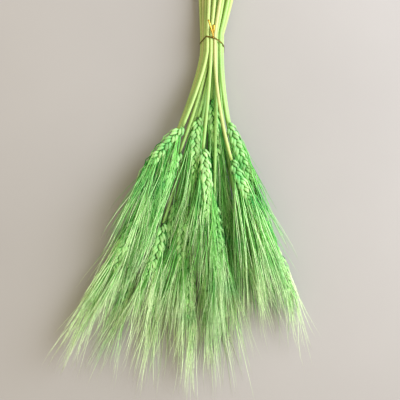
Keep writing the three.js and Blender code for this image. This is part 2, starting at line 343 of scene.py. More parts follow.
class HuskKind(NamedTuple):
    """One kind of husk, by the ways up from its spikelet, along it and out from the rachis"""

    # How far up and along its root is, which grows with the spikelet
    grown: tuple
    # How much further along and out its root is
    fixed: tuple
    # How far up and out it leans for every step along, and the way that its keel faces
    lean: tuple
    keel: tuple
    # Its shares of a full husk's length, width and depth
    size: tuple


INNER_HUSK = HuskKind((1.0 * MM, 0), (1.2 * MM, -0.5 * MM), (0.13, 0.02), (1, 0.35), (1, 1, 1))
OUTER_HUSK = HuskKind((1.6 * MM, 0), (0, 0.9 * MM), (0.17, 0.14), (0.8, 0.6), (0.78, 0.8, 0.8))
MIDDLE_HUSK = HuskKind((0, 2.4 * MM), (0, 1.2 * MM), (0, 0.12), (0, 1), (0.88, 0.6, 1))

# Materials: ribs round a straw or husk, scales of the flecks, patches and creases, and their relief
STRAW_RIBS = 14
HUSK_RIBS = 9
RIB_SHARE = 0.35
FLECK_SCALE = 900
PATCH_SCALE = 38
PATCH_EDGES = (0.5, 0.72)
PATCH_DEPTH = 0.75
CREASE_SCALE = 1400
FIBRE_RELIEF = 0.12 * MM
FIBRE_STRENGTH = 0.5
CREASE_RELIEF = 0.15 * MM
CREASE_STRENGTH = 0.8

# Where along a straw or husk, or how far between deep and pale, each colour of a ramp stands
STRAW_STOPS = (0.15, 0.55, 0.95)
HUSK_STOPS = (0, 0.3, 0.75)
AWN_STOPS = (0.1, 0.6, 1)
FLECK_STOPS = (0.3, 0.6)
CREASE_STOPS = (0.3, 0.65)
FLOOR_STOPS = (0.35, 0.65)

# How much a tone shifts a straw's colour, and how much tone and place along it shift an awn's
STRAW_TONE_SHIFT = 0.9
AWN_TONE_SHIFT = 0.8
AWN_PLACE_SHIFT = 0.7

# How much shows of dye that has run together (on the awns together with the painted shade of the
# pools), of the straws' flecks and of the darker colour of the foil's ring round the bundle
STRAW_DYE_SHOWN = 0.35
AWN_DYE_AND_SHADE_SHOWN = 0.6
FLECKS_SHOWN = 0.8
RING_DARKENING = 0.85

# How much a shade or a roughness varies, and its least
SHADES = (0.5, 0.75)
STRAW_ROUGHNESS = (0.3, 0.42)
EAR_ROUGHNESS = (0.3, 0.45)
FOIL_ROUGHNESS = (0.3, 0.2)
FLOOR_ROUGHNESS = 0.8
EAR_SPECULAR = 0.3
FOIL_METALLIC = 0.6

# What the camera sees: the middle of the picture, measured from the tie, and its height
VIEW_RIGHT = -13 * MM
VIEW_AWAY = 159 * MM
VIEW_HEIGHT = 20 * MM
PICTURE_SIDE = 400 * MM
SENSOR = 36

# The floor's half width and its darker shade, the light from the right and the light all round
FLOOR_REACH = 2
FLOOR_SHADE = 0.93
FLOOR_SCALE = 3
KEY_PLACE = Vector((1.15, 0.6, 0.8))
KEY_SIZE = (1.0, 1.4)
KEY_COLOUR = (0.88, 0.93, 1)
FILL_COLOUR = (1, 0.89, 0.61, 1)


def lerp(start, end, share):
    return start + (end - start) * share


def clamp(value, lowest=0.0, highest=1.0):
    return max(lowest, min(highest, value))


def smoothstep(value, lowest, highest):
    share = clamp((value - lowest) / (highest - lowest))
    return share * share * (3 - 2 * share)


def even_draws(seed):
    """The same draws between -1 and 1 that placed the solids' cut ends"""
    mask = 0xFFFFFFFF
    state = seed
    while True:
        state = (state + 0x6D2B79F5) & mask
        mixed = ((state ^ (state >> 15)) * (state | 1)) & mask
        mixed ^= (mixed + ((mixed ^ (mixed >> 7)) * (mixed | 61) & mask)) & mask
        yield 2 * (((mixed ^ (mixed >> 14)) & mask) / (mask + 1)) - 1


class Stalk:
    """A straw with its ear, measured from the point on the floor under the tie"""

    def __init__(self, number, row, column, line, draws):
        self.number = number
        self.row = row
        self.ear_height = EAR_LOWEST + row * EAR_STEP
        self.line = [Vector((right * MM, -away * MM, self.ear_height)) for right, away in line]
        self.foot = self.line[0].x
        self.neck = -self.line[0].y
        self.slot = (column - (len(ROWS[row]) - 1) / 2 + ROW_SHIFTS[row]) * STRAW_PITCH
        self.stray = CUT_STRAY * next(draws)
        self.cut = CUT_LENGTH + CUT_UNEVENNESS * next(draws)
        self.random = random.Random(number)
        self.measure_spine()

    def radius(self, distance):
        if distance < 0:
            return lerp(TIE_RADIUS, CUT_RADIUS, -distance / CUT_LENGTH)
        return lerp(TIE_RADIUS, NECK_RADIUS, distance / self.neck)

    def height(self, distance):
        tied = TIE_LOWEST + self.row * TIE_STEP
        if distance < 0:
            cut = self.radius(distance) * FLAT_SHARE + self.row * CUT_STEP
            return lerp(tied, cut, smoothstep(-distance, TIGHT, CUT_SETTLED))
        return lerp(tied, self.ear_height, smoothstep(distance, TIGHT, min(self.neck, EARS_APART)))

    def offset(self, distance):
        if distance < 0:
            way = max(-distance - TIGHT, 0) / (CUT_LENGTH - TIGHT)
            bow = way * (2 - way)
            return self.slot + (self.slot * CUT_SPREAD + CUT_DRIFT + self.stray * way) * bow
        way = clamp((distance - TIGHT) / (self.neck - TIGHT))
        flare = FLARE_LEFT if self.foot < self.slot else FLARE_RIGHT
        return lerp(self.slot, self.foot, way**flare)

    def point(self, distance):
        return Vector((self.offset(distance), -distance, self.height(distance)))

    def spine_point(self, share):
        """A point of the smooth line through the ear's points, by share of their number"""
        count = len(self.line) - 1
        first = min(int(share * count), count - 1)
        way = share * count - first
        p1, p2 = self.line[first], self.line[first + 1]
        p0 = self.line[first - 1] if first else 2 * p1 - p2
        p3 = self.line[first + 2] if first + 2 <= count else 2 * p2 - p1
        t0, t1, t2 = ((b - a).length ** 0.5 for a, b in ((p0, p1), (p1, p2), (p2, p3)))
        m1 = ((p1 - p0) / t0 - (p2 - p0) / (t0 + t1) + (p2 - p1) / t1) * t1
        m2 = ((p2 - p1) / t1 - (p3 - p1) / (t1 + t2) + (p3 - p2) / t2) * t1
        bend = -3 * p1 + 3 * p2 - 2 * m1 - m2
        return p1 + m1 * way + bend * way**2 + (2 * p1 - 2 * p2 + m1 + m2) * way**3

    def measure_spine(self):
        steps = 60
        self.marks = [self.spine_point(i / steps) for i in range(steps + 1)]
        self.lengths = [0.0]
        for before, after in zip(self.marks, self.marks[1:]):
            self.lengths.append(self.lengths[-1] + (after - before).length)
        self.length = self.lengths[-1]

    def along_spine(self, distance):
        """The point and the direction of the ear's line that far from the ear's foot"""
        i = 1
        while i < len(self.marks) - 1 and self.lengths[i] < distance:
            i += 1
        step = self.lengths[i] - self.lengths[i - 1]
        share = (distance - self.lengths[i - 1]) / step
        way = (self.marks[i] - self.marks[i - 1]).normalized()
        return self.marks[i - 1].lerp(self.marks[i], share), way


def make_stalks():
    """All stalks, in the order of the rows. The first draw comes with the seed and places none."""
    draws = even_draws(DRAWS_SEED)
    next(draws)
    stalks = []
    for row, lines in enumerate(ROWS):
        for column, line in enumerate(lines):
            stalks.append(Stalk(len(stalks) + 1, row, column, line, draws))
    return stalks


def tie_place(stalks):
    """Where the point on the floor under the tie is in the frame"""
    stalk = stalks[LEFTMOST_STRAW - 1]
    end = stalk.neck - NECK_GAP
    lowest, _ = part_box(f"straw_{LEFTMOST_STRAW:02d}")
    return Vector((lowest[0] - stalk.offset(end) + stalk.radius(end), lowest[1] + end, 0))


STALKS = make_stalks()
TIE_PLACE = tie_place(STALKS)


def section(middle, way, width, height=None, upright=UP):
    """A ring's place, facing a way, with its second axis as near upright as that leaves it"""
    way = way.normalized()
    side = upright.cross(way).normalized()
    up = way.cross(side) * (width if height is None else height)
    place = Matrix((side * width, up, way)).transposed().to_4x4()
    place.translation = middle
    return place


def tube(bm, sections, outline, values=None):
    """A grid rolled up through sections, each a share of an outline. Its UVs run round and along
    it, and values gives the dye attribute of the ring at each place."""
    sides = len(outline)
    rings = len(sections) - 1
    grid = bmesh.ops.create_grid(bm, x_segments=sides, y_segments=rings, size=0.5, calc_uvs=True)
    dye = bm.verts.layers.float_color["dye"]
    for vert in grid["verts"]:
        corner = round((vert.co.x + 0.5) * sides) % sides
        ring = round((vert.co.y + 0.5) * rings)
        across, upwards = outline[corner]
        vert.co = sections[ring] @ Vector((across, upwards, 0))
        vert[dye] = values[ring] if values else (0, 0, 0, 1)


def circle(sides):
    turns = (2 * math.pi * i / sides for i in range(sides))
    return tuple((math.cos(turn), math.sin(turn)) for turn in turns)


def new_mesh():
    bm = bmesh.new()
    bm.loops.layers.uv.new("UVMap")
    bm.verts.layers.float_color.new("dye")
    return bm


def finish_piece(bm, name, material, node):
    """Closes the seams, moves the piece to its place and lets it stand for its CAD node"""
    bmesh.ops.remove_doubles(bm, verts=bm.verts, dist=WELD)
    for vert in bm.verts:
        vert.co.z = max(vert.co.z, 0)
    bmesh.ops.recalc_face_normals(bm, faces=bm.faces)
    bmesh.ops.translate(bm, vec=TIE_PLACE, verts=bm.verts)
    for face in bm.faces:
        face.smooth = True
    mesh = bpy.data.meshes.new(name)
    bm.to_mesh(mesh)
    bm.free()
    mesh.materials.append(material)
    piece = bpy.data.objects.new(name, mesh)
    bpy.context.scene.collection.objects.link(piece)
    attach(piece, "root")
    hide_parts(node)
    return piece


def add_node(tree, kind, inputs=None, **settings):
    """A node with its settings, whose inputs are values or other nodes' outputs"""
    node = tree.nodes.new(kind)
    for name, value in settings.items():
        setattr(node, name, value)
    for name, value in (inputs or {}).items():
        if isinstance(value, bpy.types.NodeSocket):
            tree.links.new(value, node.inputs[name])
        else:
            node.inputs[name].default_value = value
    return node


def add_ramp(tree, factor, stops, colours):
    node = add_node(tree, "ShaderNodeValToRGB", {"Fac": factor})
    elements = node.color_ramp.elements
    for _ in stops[2:]:
        elements.new(0.5)
    for element, stop, colour in zip(elements, stops, colours):
        element.position = stop
        element.color = (*colour, 1)
    return node.outputs["Color"]


def add_math(tree, operation, *values, clamped=False):
    inputs = dict(enumerate(values))
    node = add_node(tree, "ShaderNodeMath", inputs, operation=operation, use_clamp=clamped)
    return node.outputs[0]


def add_mix(tree, factor, first, second, blend="MIX"):
    """A mix of two colours, whose sockets have the same names as those for numbers"""
    inputs = {0: factor, 6: first, 7: second}
    node = add_node(tree, "ShaderNodeMix", inputs, data_type="RGBA", blend_type=blend)
    return node.outputs[2]


def add_relief(tree, shader, height, strength, distance):
    bump = add_node(
        tree, "ShaderNodeBump", {"Height": height, "Strength": strength, "Distance": distance}
    )
    tree.links.new(bump.outputs["Normal"], shader.inputs["Normal"])


def new_group(name, inputs, outputs):
    group = bpy.data.node_groups.new(name, "ShaderNodeTree")
    for socket, kind in inputs:
        group.interface.new_socket(name=socket, in_out="INPUT", socket_type=kind)
    for socket, kind in outputs:
        group.interface.new_socket(name=socket, in_out="OUTPUT", socket_type=kind)
    return group, group.nodes.new("NodeGroupInput"), group.nodes.new("NodeGroupOutput")


def fibre_group():
    """Fine ribs that run along a stalk or husk, broken up by small flecks"""
    inputs = (
        ("Around", "NodeSocketVector"),
        ("Place", "NodeSocketVector"),
        ("Ribs", "NodeSocketFloat"),
    )
    outputs = (("Height", "NodeSocketFloat"), ("Fleck", "NodeSocketFloat"))
    group, given, result = new_group("plant fibre", inputs, outputs)
    split = add_node(group, "ShaderNodeSeparateXYZ", {"Vector": given.outputs["Around"]})
    turn = add_math(group, "MULTIPLY", split.outputs["X"], given.outputs["Ribs"])
    turn = add_math(group, "MULTIPLY", turn, 2 * math.pi)
    rib = add_math(group, "SINE", turn)
    fleck = add_node(
        group,
        "ShaderNodeTexNoise",
        {"Vector": given.outputs["Place"], "Scale": FLECK_SCALE, "Detail": 3, "Roughness": 0.6},
    )
    rib = add_math(group, "MULTIPLY", rib, RIB_SHARE)
    height = add_math(group, "ADD", rib, fleck.outputs["Fac"])
    group.links.new(height, result.inputs["Height"])
    group.links.new(fleck.outputs["Fac"], result.inputs["Fleck"])
    return group


def dye_and_shade_group():
    """Where the dye has run together, in patches a few centimetres across, deepened by a given
    depth that on the ears is partly painted shade
    """
    inputs = (("Place", "NodeSocketVector"), ("Depth", "NodeSocketFloat"))
    outputs = (("Patch", "NodeSocketFloat"),)
    group, given, result = new_group("dye and shade patches", inputs, outputs)
    cloud = add_node(
        group,
        "ShaderNodeTexNoise",
        {"Vector": given.outputs["Place"], "Scale": PATCH_SCALE, "Detail": 2, "Roughness": 0.5},
    )
    edges = {"From Min": PATCH_EDGES[0], "From Max": PATCH_EDGES[1], "To Max": PATCH_DEPTH}
    spread = add_node(group, "ShaderNodeMapRange", {"Value": cloud.outputs["Fac"], **edges})
    patch = add_math(group, "ADD", spread.outputs["Result"], given.outputs["Depth"], clamped=True)
    group.links.new(patch, result.inputs["Patch"])
    return group


def add_fibre(tree, place, ribs):
    group = bpy.data.node_groups.get("plant fibre") or fibre_group()
    inputs = {"Around": place.outputs["UV"], "Place": place.outputs["Object"], "Ribs": ribs}
    return add_node(tree, "ShaderNodeGroup", inputs, node_tree=group)


def add_patches(tree, place, depth=0):
    group = bpy.data.node_groups.get("dye and shade patches") or dye_and_shade_group()
    inputs = {"Place": place.outputs["Object"], "Depth": depth}
    return add_node(tree, "ShaderNodeGroup", inputs, node_tree=group).outputs["Patch"]


def new_material(name):
    """A material with its shader, the place, the UVs and the three parts of the dye attribute"""
    material = bpy.data.materials.new(name)
    material.use_nodes = True
    tree = material.node_tree
    shader = tree.nodes["Principled BSDF"]
    place = add_node(tree, "ShaderNodeTexCoord")
    attribute = add_node(tree, "ShaderNodeAttribute", attribute_name="dye")
    parts = add_node(tree, "ShaderNodeSeparateColor", {"Color": attribute.outputs["Color"]})
    return material, tree, shader, place, parts


def straw_material(settings):
    """Pale straw that turns from cream at the cut end to yellow-green at the ear"""
    material, tree, shader, place, parts = new_material("dyed straw")
    tone, along, swelling = (parts.outputs[name] for name in ("Red", "Green", "Blue"))
    fibre = add_fibre(tree, place, STRAW_RIBS)
    shift = add_math(tree, "MULTIPLY_ADD", tone, STRAW_TONE_SHIFT, -STRAW_TONE_SHIFT / 2)
    greener = add_math(tree, "ADD", along, shift)
    colours = (settings.cut_colour, settings.middle_colour, settings.neck_colour)
    colour = add_ramp(tree, greener, STRAW_STOPS, colours)
    dyed = add_math(tree, "MULTIPLY", add_patches(tree, place), STRAW_DYE_SHOWN)
    colour = add_mix(tree, dyed, colour, (*settings.dye_colour, 1))
    fleck = add_ramp(tree, fibre.outputs["Fleck"], FLECK_STOPS, (settings.fleck_colour, WHITE))
    colour = add_mix(tree, FLECKS_SHOWN, colour, fleck, "MULTIPLY")
    colour = add_mix(tree, swelling, colour, (*settings.joint_colour, 1))
    tree.links.new(colour, shader.inputs["Base Color"])
    rough = add_math(tree, "MULTIPLY_ADD", fibre.outputs["Fleck"], *STRAW_ROUGHNESS)
    tree.links.new(rough, shader.inputs["Roughness"])
    add_relief(tree, shader, fibre.outputs["Height"], FIBRE_STRENGTH, FIBRE_RELIEF)
    return material


def ear_material(settings):
    """Dyed husks, deep green at their roots (partly painted shade in the folds where they overlap)
    and minty at their tips, and paler awns whose covered ones carry painted shade
    """
    material, tree, shader, place, parts = new_material("dyed ear")
    tone, along, beard = (parts.outputs[name] for name in ("Red", "Green", "Blue"))
    fibre = add_fibre(tree, place, HUSK_RIBS)
    depth = add_node(tree, "ShaderNodeAttribute", attribute_name="depth")
    # On the ears the patches are deepened by each ear's depth, which is partly painted shade
    patches = add_patches(tree, place, depth.outputs["Fac"])
    # Husks run from their deep roots, which are partly painted shade, to their pale tips
    colours = (settings.root_dye_and_shade_colour, settings.husk_colour, settings.tip_colour)
    husk = add_ramp(tree, along, HUSK_STOPS, colours)
    husk = add_mix(tree, patches, husk, (*settings.deep_dye_and_shade_colour, 1))
    paler = add_math(tree, "MULTIPLY", along, AWN_PLACE_SHIFT)
    paler = add_math(tree, "MULTIPLY_ADD", tone, AWN_TONE_SHIFT, paler)
    colours = (settings.deep_awn_dye_and_shade_colour, settings.awn_colour, settings.awn_tip_colour)
    awn = add_ramp(tree, paler, AWN_STOPS, colours)
    dyed = add_math(tree, "MULTIPLY", patches, AWN_DYE_AND_SHADE_SHOWN)
    awn = add_mix(tree, dyed, awn, (*settings.deep_dye_and_shade_colour, 1))
    colour = add_mix(tree, beard, husk, awn)
    # The tone also darkens the colour, so the covered awns' painted shade shows here too
    shade = add_math(tree, "MULTIPLY_ADD", tone, *SHADES)
    fleck = add_math(tree, "MULTIPLY_ADD", fibre.outputs["Fleck"], *SHADES)
    shade = add_math(tree, "MULTIPLY", shade, fleck)
    shaded = add_node(tree, "ShaderNodeHueSaturation", {"Color": colour, "Value": shade})
    tree.links.new(shaded.outputs["Color"], shader.inputs["Base Color"])
    rough = add_math(tree, "MULTIPLY_ADD", fibre.outputs["Fleck"], *EAR_ROUGHNESS)
    tree.links.new(rough, shader.inputs["Roughness"])
    shader.inputs["Specular IOR Level"].default_value = EAR_SPECULAR
    add_relief(tree, shader, fibre.outputs["Height"], FIBRE_STRENGTH, FIBRE_RELIEF)
    return material


def foil_material(settings):
    """Gold foil, creased where it has been twisted"""
    material, tree, shader, place, parts = new_material("gold foil")
    crease = add_node(
        tree,
        "ShaderNodeTexNoise",
        {"Vector": place.outputs["Object"], "Scale": CREASE_SCALE, "Detail": 2, "Distortion": 0.6},
    )
    colours = (settings.crease_colour, settings.foil_colour)
    colour = add_ramp(tree, crease.outputs["Fac"], CREASE_STOPS, colours)
    # The ring round the bundle is darker than the knot and the tails
    darkened = add_math(tree, "MULTIPLY", parts.outputs["Red"], RING_DARKENING)
    colour = add_mix(tree, darkened, colour, (*settings.ring_colour, 1))
    tree.links.new(colour, shader.inputs["Base Color"])
    shader.inputs["Metallic"].default_value = FOIL_METALLIC
    rough = add_math(tree, "MULTIPLY_ADD", crease.outputs["Fac"], *FOIL_ROUGHNESS)
    tree.links.new(rough, shader.inputs["Roughness"])
    add_relief(tree, shader, crease.outputs["Fac"], CREASE_STRENGTH, CREASE_RELIEF)
    return material


def straw_piece(stalk, settings, material):
    """A hollow straw from its cut end to the foot of its ear, with one swollen joint on some"""
    bm = new_mesh()
    jointed = stalk.random.random() < JOINTED_SHARE
    joint = -stalk.random.uniform(*JOINT_PLACES) * CUT_LENGTH if jointed else None
    tone = PALE_STRAWS.get(stalk.number, stalk.random.uniform(*STRAW_TONES))
    cut = -stalk.cut
    distances = [lerp(cut, stalk.neck, i / STRAW_RINGS) for i in range(1, STRAW_RINGS + 1)]
    if jointed:
        distances += [joint + step * settings.joint_length for step in JOINT_RINGS]
    distances.sort()
    inside = 1 - settings.wall / CUT_RADIUS
    rings = [
        (cut + settings.bore_depth, 0),
        (cut + settings.bore_depth, inside),
        (cut, inside),
        (cut, RIM_SHARE),
        (cut + RIM_LENGTH, 1),
    ]
    for distance in distances:
        swell = 0
        if jointed:
            place = (distance - joint) / (JOINT_WIDTH * settings.joint_length)
            swell = JOINT_SWELL * math.exp(-(place**2))
        rings.append((distance, 1 + swell))
    rings.append((stalk.neck, 0))
    sections, values = [], []
    for distance, share in rings:
        radius = stalk.radius(distance) * ROUND_SHARE
        middle = stalk.point(distance)
        middle.z = max(middle.z, radius)
        way = stalk.point(distance + MM) - stalk.point(distance - MM)
        sections.append(section(middle, way, radius * share))
        along = (distance + stalk.cut) / (stalk.neck + stalk.cut)
        values.append((tone, along, clamp((share - 1) * JOINT_DARKENING), 1))
    tube(bm, sections, circle(settings.sides), values)
    name = f"straw_{stalk.number:02d}"
    finish_piece(bm, f"dyed_{name}", material, name)


def husk(bm, root, way, out, size, tone):
    """A keeled husk from its root to its tip, bowed outwards. The tip is given back."""
    length, width, depth = size
    sections, values = [], []
    for along, wide, deep in HUSK_RINGS:
        bow = HUSK_BOW * length * math.sin(math.pi * along)
        middle = root + way * (along * length) + out * bow
        sections.append(section(middle, way, width * wide, depth * deep, out))
        values.append((tone, along, 0, 1))
    tube(bm, sections, HUSK_SECTION, values)
    return root + way * length


def grow_husk(bm, kind, root, ways, full, size, tone):
    """A husk of its kind at its spikelet's root. Its tip and the way it points are given back."""
    rise, way, out = ways
    start = root + rise * (kind.grown[0] * size) + way * (kind.grown[1] * size)
    start = start + way * kind.fixed[0] + out * kind.fixed[1]
    heading = (way + rise * kind.lean[0] + out * kind.lean[1]).normalized()
    keel = (rise * kind.keel[0] + out * kind.keel[1]).normalized()
    sizes = Vector([share * whole for share, whole in zip(kind.size, full)])
    return husk(bm, start, heading, keel, sizes, tone), heading


def draw_sway(draws):
    """The way in which an awn bends, as a share of the usual bend"""
    return Vector((draws.gauss(0, 1), 0, draws.gauss(0, AWN_SWAY_UP)))


class Lock:
    """What the awns of one spikelet share: the side that they are on, their bend and their dye"""

    def __init__(self, stalk, along, side, hand):
        draws = stalk.random
        self.stalk = stalk
        self.along = along
        self.side = side
        self.turn = hand * draws.uniform(*LOCK_TURNS)
        self.sway = draw_sway(draws)
        self.wave = draws.gauss(0, 1)
        self.tone = draws.random()


def awn(bm, lock, start, way, out, length, radius, height):
    """A stiff bristle that leaves its husk one way and then goes another, and tapers to a point"""
    draws = lock.stalk.random
    sway = draw_sway(draws).lerp(lock.sway, LOCK_BEND) * (AWN_SWAY * length)
    wave = lerp(draws.gauss(0, 1), lock.wave, LOCK_BEND) * AWN_WAVE * length
    points = []
    for along in AWN_STEPS:
        turned = way.lerp(out, clamp(along / AWN_TURNED_BY))
        point = start + turned * (along * length) + sway * along**2
        point.x += wave * math.sin(2 * math.pi * along)
        point.z = clamp(point.z, AWN_FLOOR, CAD_BOX[1][2])
        points.append(point)
    tone = lock.tone if draws.random() < LOCK_DYE else draws.random()
    # Painted shade: awns that lie lower, under the others, get a deeper tone
    tone = clamp(tone + (height - 0.5) * COVERED_AWN_SHADE)
    sections, values = [], []
    for i, along in enumerate(AWN_STEPS):
        heading = points[min(i + 1, len(points) - 1)] - points[max(i - 1, 0)]
        paler = smoothstep(points[i].length, PALER_FROM, PALEST_FROM)
        width = radius * (1 - along) ** AWN_TAPER * lerp(1, FARTHEST_WIDTH, paler)
        sections.append(section(points[i], heading, width))
        values.append((tone, along * lerp(*PALING_ALONG, paler) + PALING_FAR * paler, 1, 1))
    tube(bm, sections, circle(AWN_SIDES), values)


def spikelet(bm, stalk, i, last, settings):
    """Two outer husks and three awned inner ones, which stand out from the rachis in turn, and the
    awns of the small ones that they hide"""
    draws = stalk.random
    rooted = stalk.length - SPIKELET_LENGTH
    root, along = stalk.along_spine(i / last * rooted)
    side = UP.cross(along).normalized()
    hand = -1 if i % 2 else 1
    lean = 0
    if i < last:
        stray = draws.uniform(-SPIKELET_LEAN_STRAY, SPIKELET_LEAN_STRAY)
        lean = hand * (SPIKELET_LEAN + math.radians(stray))
    way = along * math.cos(lean) + side * math.sin(lean)
    out = side * (hand * math.cos(lean)) - along * (hand * math.sin(lean))
    size = 1 - END_SHRINKAGE * (i / last - FULLEST_PLACE) ** 2
    size *= draws.uniform(*SPIKELET_SIZES)
    full = Vector((settings.husk_length, settings.husk_width / 2, settings.husk_depth)) * size
    lock = Lock(stalk, along, side, hand)
    for above in (1, -1):
        ways = (UP * above, way, out)
        tip, heading = grow_husk(bm, INNER_HUSK, root, ways, full, size, draws.random())
        grow_awn(bm, lock, tip, heading, above * draws.uniform(LEAST_RISE, 1), settings)
        grow_husk(bm, OUTER_HUSK, root, ways, full, size, draws.random())
    tip, heading = grow_husk(bm, MIDDLE_HUSK, root, (UP, way, out), full, size, draws.random())
    grow_awn(bm, lock, tip, heading, draws.uniform(-MIDDLE_RISE, MIDDLE_RISE), settings)
    beard = lerp(THINNEST_BEARD, THICKEST_BEARD, stalk.row / (len(ROWS) - 1))
    for _ in range(round(settings.hidden_awns * beard)):
        upwards = UP * draws.uniform(-HIDDEN_LEAN_UP, HIDDEN_LEAN_UP)
        outwards = out * draws.uniform(-HIDDEN_LEAN_OUT, HIDDEN_LEAN_OUT)
        heading = (way + upwards + outwards).normalized()
        start = root + heading * (full.x * draws.uniform(*HIDDEN_PLACES))
        grow_awn(bm, lock, start, heading, draws.uniform(-1, 1), settings, HIDDEN_SHARE)


def grow_awn(bm, lock, tip, heading, rise, settings, share=1):
    """An awn that is combed from its ear's line towards the way out from the tie"""
    number, draws = lock.stalk.number, lock.stalk.random
    length = draws.uniform(settings.awn_shortest, settings.awn_longest) * share
    length *= LONG_BEARDS.get(number, 1)
    if draws.random() < BROKEN_SHARES.get(number, BROKEN_SHARE):
        length *= draws.uniform(*BROKEN_LENGTHS)
    if tip.length + length > FULL_REACH and draws.random() < FULL_ENDS:
        end = FULL_REACH * draws.uniform(*FULL_END_PLACES)
        length = max(LEAST_KEPT * length, end - tip.length)
    elif draws.random() < LONG_SHARE:
        length *= LONGER
    length = min(length, LONGEST_REACH - tip.length)
    outwards = Vector((tip.x, tip.y, 0)).normalized()
    combed = lock.along.lerp(outwards, AWN_COMBING) + Vector((AWN_LEANS.get(number, 0), 0, 0))
    sideways = (lock.turn + draws.uniform(-LOCK_WIDTH, LOCK_WIDTH)) * AWN_SPREAD
    if draws.random() < STRAY_SHARE:
        sideways = draws.uniform(-STRAY_SPREAD, STRAY_SPREAD) * AWN_SPREAD
        length *= STRAY_LENGTH
    out = combed + lock.side * math.tan(sideways) + UP * math.tan(rise * AWN_RISE)
    start = tip - heading * AWN_ROOTED
    awn(bm, lock, start, heading, out.normalized(), length, settings.awn_width / 2, (rise + 1) / 2)


def pooled_dye_and_shade(place):
    """How deep the dye and the painted shade are at a place, by the pools that it lies in"""
    deepest = 0
    for right, away, width, depth in DYE_AND_SHADE_POOLS:
        distance = math.hypot(place.x - right * MM, place.y + away * MM)
        outside = smoothstep(distance, POOL_FULL * width * MM, POOL_END * width * MM)
        deepest = max(deepest, depth * (1 - outside))
    return deepest


def ear_piece(stalk, settings, material):
    """The rachis with all its spikelets and their awns"""
    bm = new_mesh()
    sections, values = [], []
    end = stalk.length - SPIKELET_LENGTH / 2
    for i in range(RACHIS_RINGS + 1):
        share = i / RACHIS_RINGS
        middle, way = stalk.along_spine(share * end)
        swell = RACHIS_FOOT if i in (0, 1) else 1
        closed = 0 if i in (0, RACHIS_RINGS) else 1
        radius = RACHIS_RADIUS * swell * closed * (1 - RACHIS_TAPER * share)
        sections.append(section(middle, way, radius))
        values.append(RACHIS_DYE)
    tube(bm, sections, circle(RACHIS_SIDES), values)
    last = round((stalk.length - SPIKELET_LENGTH) / SPIKELET_PITCH)
    for i in range(last + 1):
        spikelet(bm, stalk, i, last, settings)
    name = f"ear_{stalk.number:02d}"
    piece = finish_piece(bm, f"dyed_{name}", material, name)
    # The depth holds each ear's deeper or paler dye and the pools. Some of the pools, and ear 26's
    # depth, are painted shade
    depth = piece.data.attributes.new("depth", "FLOAT", "POINT")
    taken = DEEP_DYED_AND_SHADED_EARS.get(stalk.number, 0) - PALE_EARS.get(stalk.number, 0)
    depths = [taken + pooled_dye_and_shade(vert.co - TIE_PLACE) for vert in piece.data.vertices]
    depth.data.foreach_set("value", depths)


def tie_point(angle, outwards):
    """A point on a strip drawn tight round the bundle, by its way out from the bundle's middle"""
    out = Vector((math.cos(angle), 0, math.sin(angle)))
    point = out * BUNDLE_MIDDLE
    for _ in range(TIE_FITTINGS):
        along = TIE_MIDDLE + TIE_TILT_RIGHT * point.x + TIE_TILT_UP * point.z
        centres = [stalk.point(-along) - Vector((0, 0, BUNDLE_MIDDLE)) for stalk in STALKS]
        outermost = max(centres, key=out.dot)
        point = outermost + out * (TIE_RADIUS * ROUND_SHARE + TIE_GAP + outwards)
    return point + Vector((0, 0, BUNDLE_MIDDLE))


def strip_outline():
    """A flat strip with rounded edges and a wire along its middle"""
    half = ((1, 0.0), (0.92, 0.32), (0.4, 0.42), (0.18, 1.0))
    upper = [*half, *((-across, above) for across, above in reversed(half))]
    return tuple([*upper, *((across, -above) for across, above in reversed(upper[1:-1]))])


def tie_piece(settings, material):
    """The strip round the bundle, its two ends twisted together and its tails"""
    bm = new_mesh()
    outline = strip_outline()
    width, thickness = settings.strip_width / 2, settings.strip_thickness / 2
    sections = []
    for i in range(TIE_CORNERS + 1):
        angle = 2 * math.pi * (i % TIE_CORNERS) / TIE_CORNERS
        before = tie_point(angle - math.pi / TIE_CORNERS, thickness)
        after = tie_point(angle + math.pi / TIE_CORNERS, thickness)
        out = Vector((math.cos(angle), 0, math.sin(angle)))
        sections.append(section(tie_point(angle, thickness), after - before, width, thickness, out))
    tube(bm, sections, outline, [RING_DARK] * len(sections))
    top = tie_point(math.pi / 2, KNOT_ABOVE)
    shift = KNOT_RIGHT - top.x
    start = top + Vector((shift, TIE_TILT_RIGHT * shift - KNOT_AHEAD, 0))
    for hand, tail in enumerate(TAILS):
        sections = []
        for i in range(KNOT_RINGS + 1):
            share = i / KNOT_RINGS
            turn = 2 * math.pi * KNOT_TURNS * share + hand * math.pi
            lobe = Vector((math.cos(turn), 0, math.sin(turn))) * KNOT_RADIUS
            middle = start + lobe + Vector((0, share * KNOT_LENGTH, 0))
            sections.append(section(middle, Vector((0, 1, 0)), width, thickness, lobe.normalized()))
        root = middle
        way = Vector(tail)
        for i in range(1, TAIL_RINGS + 1):
            share = i / TAIL_RINGS
            bent = Vector((0, 0, TAIL_BOW * math.sin(math.pi * share)))
            middle = root + way * share + bent
            upright = lobe.normalized().lerp(UP, clamp(share * TAIL_FLATTENING)).normalized()
            spread = smoothstep(share, 0, TAIL_SPREAD_BY)
            wide = width * lerp(TAIL_PINCH, TAIL_SPREADS[hand], spread)
            sections.append(section(middle, way, wide, thickness, upright))
        ends = [sections[0].copy(), sections[-1].copy()]
        for end in ends:
            for row in range(3):
                end[row][0] = end[row][1] = 0
        tube(bm, [ends[0], *sections, ends[1]], outline)
    finish_piece(bm, "foil_twist_tie", material, "tie")


